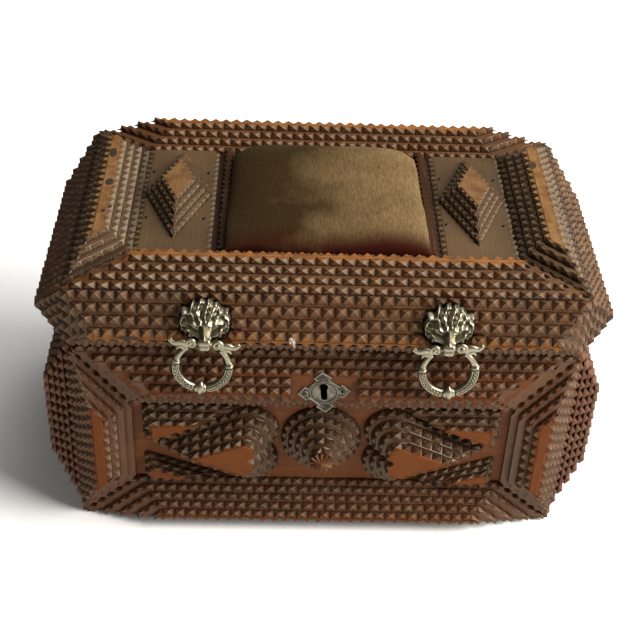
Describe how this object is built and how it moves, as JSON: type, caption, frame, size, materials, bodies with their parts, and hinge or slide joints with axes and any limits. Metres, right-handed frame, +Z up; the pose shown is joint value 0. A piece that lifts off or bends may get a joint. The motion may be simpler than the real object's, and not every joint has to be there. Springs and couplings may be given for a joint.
{
  "type": "tramp art box",
  "caption": "Chip-carved wooden box with a hinged lid, stepped notched layers, a velvet pincushion on top, lion ring pulls, hearts and a rosette on the front, and a small lock.",
  "frame": {"origin": "middle of the bottom face that the box stands on", "axes": "+X along the width to the box's right as seen from the front, +Y from the front to the back, +Z up"},
  "size_m": [0.2824, 0.1792, 0.1593],
  "materials": {
    "carved_wood": "old shellac over stained cigar-box cedar, worn on the edges",
    "core_wood": "dark stained softwood boards",
    "field_wood": "grey-brown stained thin wood",
    "velvet": "olive-gold cotton velvet, worn",
    "cast_brass": "aged cast brass with dark hollows",
    "pewter": "dull grey stamped plate",
    "old_brass": "dull old brass",
    "iron": "dark iron"
  },
  "bodies": {
    "base": {"bottom_board": "core_wood", "base_front_board": "core_wood", "base_back_board": "core_wood", "base_left_board": "core_wood", "base_right_board": "core_wood", "base_top_bar": "carved_wood", "base_bottom_bar": "carved_wood", "base_left_bar": "carved_wood", "base_right_bar": "carved_wood", "base_left_stack": "carved_wood", "base_right_stack": "carved_wood", "base_back_stack": "carved_wood", "left_heart": "carved_wood", "right_heart": "carved_wood", "rosette": "carved_wood", "upper_left_corner": "carved_wood", "upper_right_corner": "carved_wood", "lower_left_corner": "carved_wood", "lower_right_corner": "carved_wood", "escutcheon": "pewter", "escutcheon_pins": "pewter", "lock_case": "iron", "lock_screws": "old_brass", "left_hinge_base_leaf": "old_brass", "right_hinge_base_leaf": "old_brass", "hinge_pins": "iron", "hinge_base_screws": "old_brass"},
    "lid": {"lid_top_board": "core_wood", "lid_front_rail": "core_wood", "lid_back_rail": "core_wood", "lid_left_rail": "core_wood", "lid_right_rail": "core_wood", "top_front_bar": "carved_wood", "top_back_bar": "carved_wood", "top_left_bar": "carved_wood", "top_right_bar": "carved_wood", "lid_front_stack": "carved_wood", "lid_back_stack": "carved_wood", "lid_left_stack": "carved_wood", "lid_right_stack": "carved_wood", "left_field_panel": "field_wood", "right_field_panel": "field_wood", "left_diamond": "carved_wood", "right_diamond": "carved_wood", "left_cushion_strip": "field_wood", "right_cushion_strip": "field_wood", "pincushion": "velvet", "panel_tacks": "old_brass", "left_lion_head": "cast_brass", "right_lion_head": "cast_brass", "lion_nuts": "iron", "left_hinge_lid_leaf": "old_brass", "right_hinge_lid_leaf": "old_brass", "hinge_lid_screws": "old_brass", "strike_plate": "iron", "strike_screws": "old_brass"},
    "left_ring": {"left_ring": "cast_brass"},
    "right_ring": {"right_ring": "cast_brass"},
    "lock_bolt": {"lock_bolt": "old_brass"}
  },
  "joints": [
    {"name": "lid_hinge", "type": "hinge", "parent": "base", "child": "lid", "pos_m": [0, 0.073, 0.11415], "axis": [-1, 0, 0], "range_deg": [0, 100]},
    {"name": "left_ring_swing", "type": "hinge", "parent": "lid", "child": "left_ring", "pos_m": [-0.0575, -0.0882, 0.1276], "axis": [-1, 0, 0], "range_deg": [0, 90]},
    {"name": "right_ring_swing", "type": "hinge", "parent": "lid", "child": "right_ring", "pos_m": [0.0575, -0.0882, 0.1276], "axis": [-1, 0, 0], "range_deg": [0, 90]},
    {"name": "bolt_slide", "type": "slide", "parent": "base", "child": "lock_bolt", "axis": [1, 0, 0], "range_m": [0, 0.006]}
  ]
}
